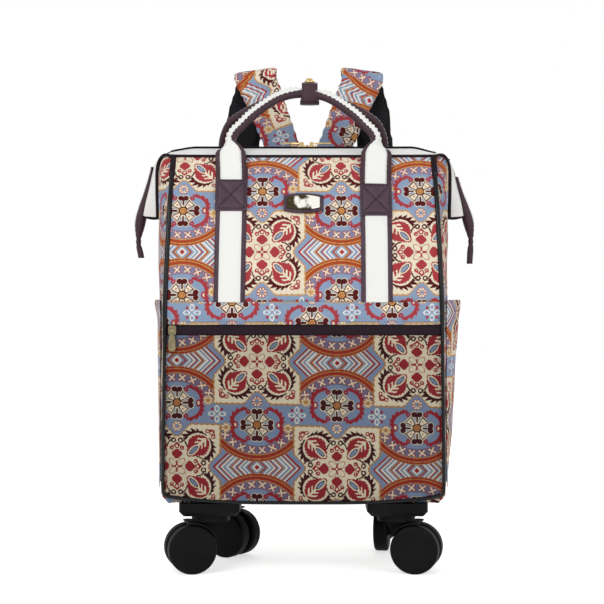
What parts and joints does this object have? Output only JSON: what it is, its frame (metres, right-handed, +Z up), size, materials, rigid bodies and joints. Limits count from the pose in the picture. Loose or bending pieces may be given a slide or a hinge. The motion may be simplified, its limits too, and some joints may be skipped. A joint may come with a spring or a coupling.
{
  "type": "rolling backpack",
  "caption": "Wide-mouth fabric backpack on swivelling twin-wheel casters, with carry handles, padded shoulder straps, zip pockets and a retracting pull handle.",
  "frame": {"origin": "centre of the whole object's box, at the floor under the wheels", "axes": "+Z up, -Y towards the front pocket, +X to the right seen from the front"},
  "size_m": [0.4082, 0.2217, 0.61],
  "materials": {
    "tapestry_cloth": "jacquard weave",
    "air_mesh": "padded spacer mesh",
    "gloss_piping": "glossy vinyl",
    "zip_tape": "woven zip tape and coil",
    "webbing": "twill webbing",
    "black_webbing": "ribbed webbing",
    "plum_leather": "fine-grained leather",
    "gold_hardware": "polished plating",
    "moulded_plastic": "moulded",
    "button_plastic": "moulded",
    "wheel_rubber": "matt polyurethane",
    "frame_steel": "plain",
    "tube_aluminium": "satin anodised"
  },
  "bodies": {
    "root": {"back_panel": "air_mesh", "back_piping": "gloss_piping", "badge_backing": "plum_leather", "badge_plate": "gold_hardware", "base_tray": "moulded_plastic", "caster_housings": "moulded_plastic", "caster_screws": "frame_steel", "front_handle": "plum_leather", "front_piping": "gloss_piping", "front_pocket": "tapestry_cloth", "front_straps": "webbing", "handle_patches": "plum_leather", "handle_wrap": "plum_leather", "lower_straps": "black_webbing", "main_bag": "tapestry_cloth", "mouth_bands": "webbing", "mouth_frames": "frame_steel", "mouth_zip_tape": "zip_tape", "placket": "tapestry_cloth", "pocket_zip_tape": "zip_tape", "rear_handle": "plum_leather", "shoulder_strap_left": "tapestry_cloth", "shoulder_strap_right": "tapestry_cloth", "side_pocket_left": "tapestry_cloth", "side_pocket_right": "tapestry_cloth", "strap_buckles": "moulded_plastic", "trolley_bezel": "moulded_plastic", "trolley_feet": "moulded_plastic", "trolley_outer_tubes": "tube_aluminium", "wing_bands": "webbing", "wing_tabs": "plum_leather", "wrap_stud": "gold_hardware"},
    "left_top_slider": {"top_slider_left": "gold_hardware"},
    "left_top_pull": {"top_pull_left": "gold_hardware"},
    "right_top_slider": {"top_slider_right": "gold_hardware"},
    "right_top_pull": {"top_pull_right": "gold_hardware"},
    "pocket_slider": {"pocket_slider": "gold_hardware"},
    "pocket_pull": {"pocket_pull": "gold_hardware"},
    "trolley_middle": {"trolley_middle_tubes": "tube_aluminium"},
    "trolley_upper": {"trolley_inner_tubes": "tube_aluminium", "trolley_grip": "moulded_plastic"},
    "trolley_button": {"trolley_button": "button_plastic"},
    "caster_front_left": {"fork_front_left": "moulded_plastic", "axle_front_left": "frame_steel"},
    "wheel_front_left_near": {"wheel_front_left_near": "wheel_rubber"},
    "wheel_front_left_far": {"wheel_front_left_far": "wheel_rubber"},
    "caster_front_right": {"fork_front_right": "moulded_plastic", "axle_front_right": "frame_steel"},
    "wheel_front_right_near": {"wheel_front_right_near": "wheel_rubber"},
    "wheel_front_right_far": {"wheel_front_right_far": "wheel_rubber"},
    "caster_rear_left": {"fork_rear_left": "moulded_plastic", "axle_rear_left": "frame_steel"},
    "wheel_rear_left_near": {"wheel_rear_left_near": "wheel_rubber"},
    "wheel_rear_left_far": {"wheel_rear_left_far": "wheel_rubber"},
    "caster_rear_right": {"fork_rear_right": "moulded_plastic", "axle_rear_right": "frame_steel"},
    "wheel_rear_right_near": {"wheel_rear_right_near": "wheel_rubber"},
    "wheel_rear_right_far": {"wheel_rear_right_far": "wheel_rubber"}
  },
  "joints": [
    {"name": "left_top_zip", "type": "slide", "parent": "root", "child": "left_top_slider", "axis": [-1, 0, 0], "range_m": [0, 0.135]},
    {"name": "right_top_zip", "type": "slide", "parent": "root", "child": "right_top_slider", "axis": [1, 0, 0], "range_m": [0, 0.135]},
    {"name": "left_top_pull_hinge", "type": "hinge", "parent": "left_top_slider", "child": "left_top_pull", "pos_m": [-0.00165, -0.0145, 0.5037], "axis": [0, 1, 0], "range_deg": [0, 150]},
    {"name": "right_top_pull_hinge", "type": "hinge", "parent": "right_top_slider", "child": "right_top_pull", "pos_m": [0.00965, -0.0145, 0.5037], "axis": [0, -1, 0], "range_deg": [0, 150]},
    {"name": "pocket_zip", "type": "slide", "parent": "root", "child": "pocket_slider", "axis": [1, 0, 0], "range_m": [0, 0.292]},
    {"name": "pocket_pull_hinge", "type": "hinge", "parent": "pocket_slider", "child": "pocket_pull", "pos_m": [-0.15, -0.1093, 0.28075], "axis": [-1, 0, 0], "range_deg": [0, 150]},
    {"name": "trolley_lower_stage", "type": "slide", "parent": "root", "child": "trolley_middle", "axis": [0, 0, 1], "range_m": [0, 0.24]},
    {"name": "trolley_upper_stage", "type": "slide", "parent": "trolley_middle", "child": "trolley_upper", "axis": [0, 0, 1], "range_m": [0, 0.24]},
    {"name": "grip_button", "type": "slide", "parent": "trolley_upper", "child": "trolley_button", "axis": [0, 0, -1], "range_m": [0, 0.003], "stiffness_N_per_m": 400, "springref_m": -0.003},
    {"name": "swivel_front_left", "type": "hinge", "parent": "root", "child": "caster_front_left", "pos_m": [-0.108, -0.0745, 0.067], "axis": [0, 0, 1], "continuous": true},
    {"name": "roll_front_left_near", "type": "hinge", "parent": "caster_front_left", "child": "wheel_front_left_near", "pos_m": [-0.13129, -0.08031, 0.028], "axis": [0.2419, -0.9703, 0], "continuous": true},
    {"name": "roll_front_left_far", "type": "hinge", "parent": "caster_front_left", "child": "wheel_front_left_far", "pos_m": [-0.13129, -0.08031, 0.028], "axis": [0.2419, -0.9703, 0], "continuous": true},
    {"name": "swivel_front_right", "type": "hinge", "parent": "root", "child": "caster_front_right", "pos_m": [0.108, -0.0745, 0.067], "axis": [0, 0, 1], "continuous": true},
    {"name": "roll_front_right_near", "type": "hinge", "parent": "caster_front_right", "child": "wheel_front_right_near", "pos_m": [0.13129, -0.08031, 0.028], "axis": [0.2419, 0.9703, 0], "continuous": true},
    {"name": "roll_front_right_far", "type": "hinge", "parent": "caster_front_right", "child": "wheel_front_right_far", "pos_m": [0.13129, -0.08031, 0.028], "axis": [0.2419, 0.9703, 0], "continuous": true},
    {"name": "swivel_rear_left", "type": "hinge", "parent": "root", "child": "caster_rear_left", "pos_m": [-0.108, 0.0435, 0.067], "axis": [0, 0, 1], "continuous": true},
    {"name": "roll_rear_left_near", "type": "hinge", "parent": "caster_rear_left", "child": "wheel_rear_left_near", "pos_m": [-0.08722, 0.0315, 0.028], "axis": [0.5, 0.866, 0], "continuous": true},
    {"name": "roll_rear_left_far", "type": "hinge", "parent": "caster_rear_left", "child": "wheel_rear_left_far", "pos_m": [-0.08722, 0.0315, 0.028], "axis": [0.5, 0.866, 0], "continuous": true},
    {"name": "swivel_rear_right", "type": "hinge", "parent": "root", "child": "caster_rear_right", "pos_m": [0.108, 0.0435, 0.067], "axis": [0, 0, 1], "continuous": true},
    {"name": "roll_rear_right_near", "type": "hinge", "parent": "caster_rear_right", "child": "wheel_rear_right_near", "pos_m": [0.11217, 0.06714, 0.028], "axis": [-0.9848, 0.1736, 0], "continuous": true},
    {"name": "roll_rear_right_far", "type": "hinge", "parent": "caster_rear_right", "child": "wheel_rear_right_far", "pos_m": [0.11217, 0.06714, 0.028], "axis": [-0.9848, 0.1736, 0], "continuous": true}
  ]
}
